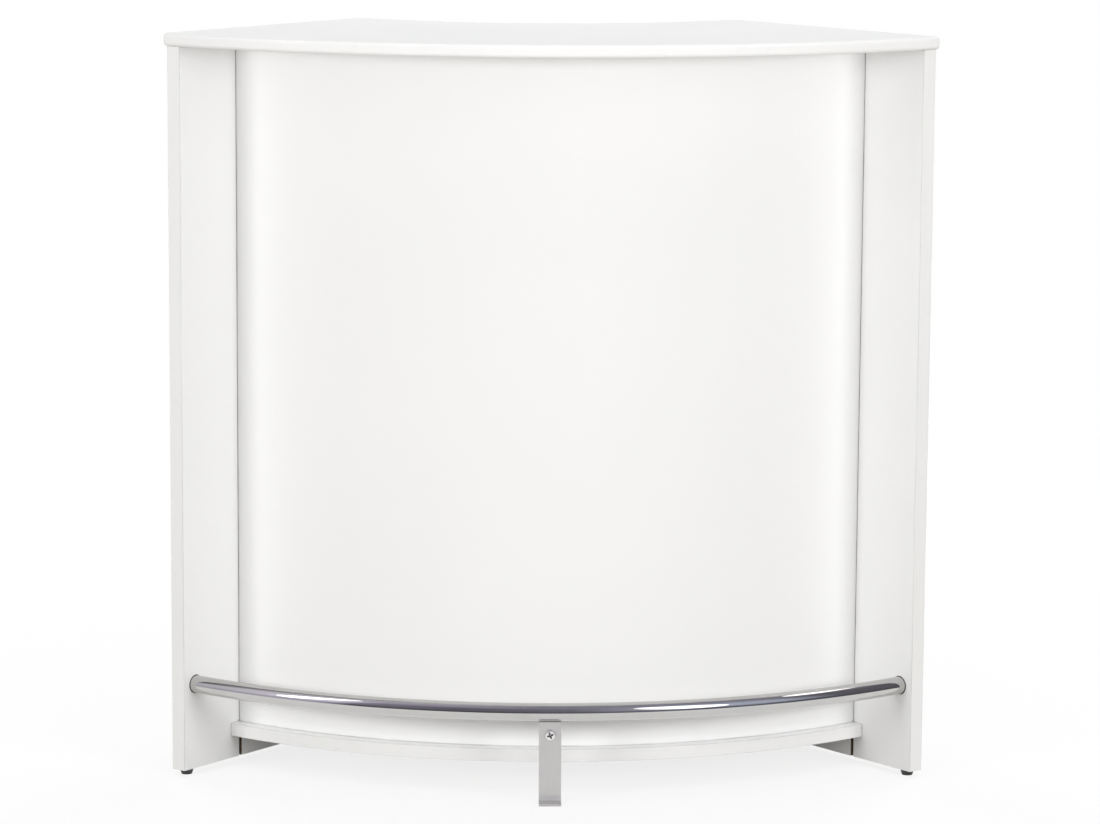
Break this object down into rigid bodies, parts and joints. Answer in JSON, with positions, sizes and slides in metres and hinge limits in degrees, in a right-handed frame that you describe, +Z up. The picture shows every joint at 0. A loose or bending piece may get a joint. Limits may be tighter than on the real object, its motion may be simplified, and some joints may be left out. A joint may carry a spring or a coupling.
{
  "type": "bar counter",
  "caption": "Free-standing curved bar counter with a bowed front panel between side panels, overhanging rounded top, chromed foot rail on a centre leg, and an open back with a shelf.",
  "frame": {"origin": "on the floor, in the middle of the counter's width and depth", "axes": "+X to the right and +Y to the barkeeper's side, seen by a guest who stands at -Y; +Z up"},
  "size_m": [1.0722, 0.5221, 1.05],
  "materials": {
    "white_laminate_board": "white melamine laminate, satin",
    "white_edging": "satin",
    "chromed_tube": "polished",
    "satin_steel": "satin",
    "zinc_plated_steel": "plated",
    "die_cast_zinc": "as cast",
    "white_plastic": "satin",
    "grey_nylon": "matt",
    "black_plastic": "matt",
    "beech": "plain"
  },
  "bodies": {
    "counter": {"top_board": "white_laminate_board", "top_edging": "white_edging", "side_panel_left": "white_laminate_board", "side_panel_right": "white_laminate_board", "side_front_band_left": "white_edging", "side_front_band_right": "white_edging", "side_back_band_left": "white_edging", "side_back_band_right": "white_edging", "front_panel": "white_laminate_board", "bottom_board": "white_laminate_board", "bottom_front_band": "white_edging", "bottom_back_band": "white_edging", "shelf_board": "white_laminate_board", "shelf_back_band": "white_edging", "foot_rail": "chromed_tube", "rail_tab": "satin_steel", "rail_leg": "satin_steel", "leg_screw": "zinc_plated_steel", "leg_nut": "zinc_plated_steel", "rail_end_plugs": "grey_nylon", "rail_end_bolts": "zinc_plated_steel", "rail_bolt_caps": "white_plastic", "bottom_cams": "die_cast_zinc", "bottom_cam_bolts": "zinc_plated_steel", "bottom_cam_caps": "white_plastic", "bottom_dowels": "beech", "shelf_cams": "die_cast_zinc", "shelf_cam_bolts": "zinc_plated_steel", "shelf_cam_caps": "white_plastic", "shelf_dowels": "beech", "top_cams": "die_cast_zinc", "top_cam_bolts": "zinc_plated_steel", "top_cam_caps": "white_plastic", "top_dowels": "beech", "foot_inserts": "zinc_plated_steel"},
    "pad_front_left": {"foot_pad_front_left": "black_plastic"},
    "stem_front_left": {"foot_stem_front_left": "zinc_plated_steel"},
    "pad_front_right": {"foot_pad_front_right": "black_plastic"},
    "stem_front_right": {"foot_stem_front_right": "zinc_plated_steel"},
    "pad_back_left": {"foot_pad_back_left": "black_plastic"},
    "stem_back_left": {"foot_stem_back_left": "zinc_plated_steel"},
    "pad_back_right": {"foot_pad_back_right": "black_plastic"},
    "stem_back_right": {"foot_stem_back_right": "zinc_plated_steel"}
  },
  "joints": [
    {"name": "foot_height_front_left", "type": "slide", "parent": "counter", "child": "pad_front_left", "axis": [0, 0, -1], "range_m": [0, 0.01]},
    {"name": "foot_turn_front_left", "type": "hinge", "parent": "pad_front_left", "child": "stem_front_left", "pos_m": [-0.51228, -0.05844, 0.003], "axis": [0, 0, -1], "range_deg": [0, 2880]},
    {"name": "foot_height_front_right", "type": "slide", "parent": "counter", "child": "pad_front_right", "axis": [0, 0, -1], "range_m": [0, 0.01]},
    {"name": "foot_turn_front_right", "type": "hinge", "parent": "pad_front_right", "child": "stem_front_right", "pos_m": [0.51228, -0.05844, 0.003], "axis": [0, 0, -1], "range_deg": [0, 2880]},
    {"name": "foot_height_back_left", "type": "slide", "parent": "counter", "child": "pad_back_left", "axis": [0, 0, -1], "range_m": [0, 0.01]},
    {"name": "foot_turn_back_left", "type": "hinge", "parent": "pad_back_left", "child": "stem_back_left", "pos_m": [-0.28879, 0.22761, 0.003], "axis": [0, 0, -1], "range_deg": [0, 2880]},
    {"name": "foot_height_back_right", "type": "slide", "parent": "counter", "child": "pad_back_right", "axis": [0, 0, -1], "range_m": [0, 0.01]},
    {"name": "foot_turn_back_right", "type": "hinge", "parent": "pad_back_right", "child": "stem_back_right", "pos_m": [0.28879, 0.22761, 0.003], "axis": [0, 0, -1], "range_deg": [0, 2880]}
  ],
  "couplings": [
    {"joint": "foot_turn_front_left", "follows": "foot_height_front_left", "rad_per_m": 5026.5},
    {"joint": "foot_turn_front_right", "follows": "foot_height_front_right", "rad_per_m": 5026.5},
    {"joint": "foot_turn_back_left", "follows": "foot_height_back_left", "rad_per_m": 5026.5},
    {"joint": "foot_turn_back_right", "follows": "foot_height_back_right", "rad_per_m": 5026.5}
  ]
}
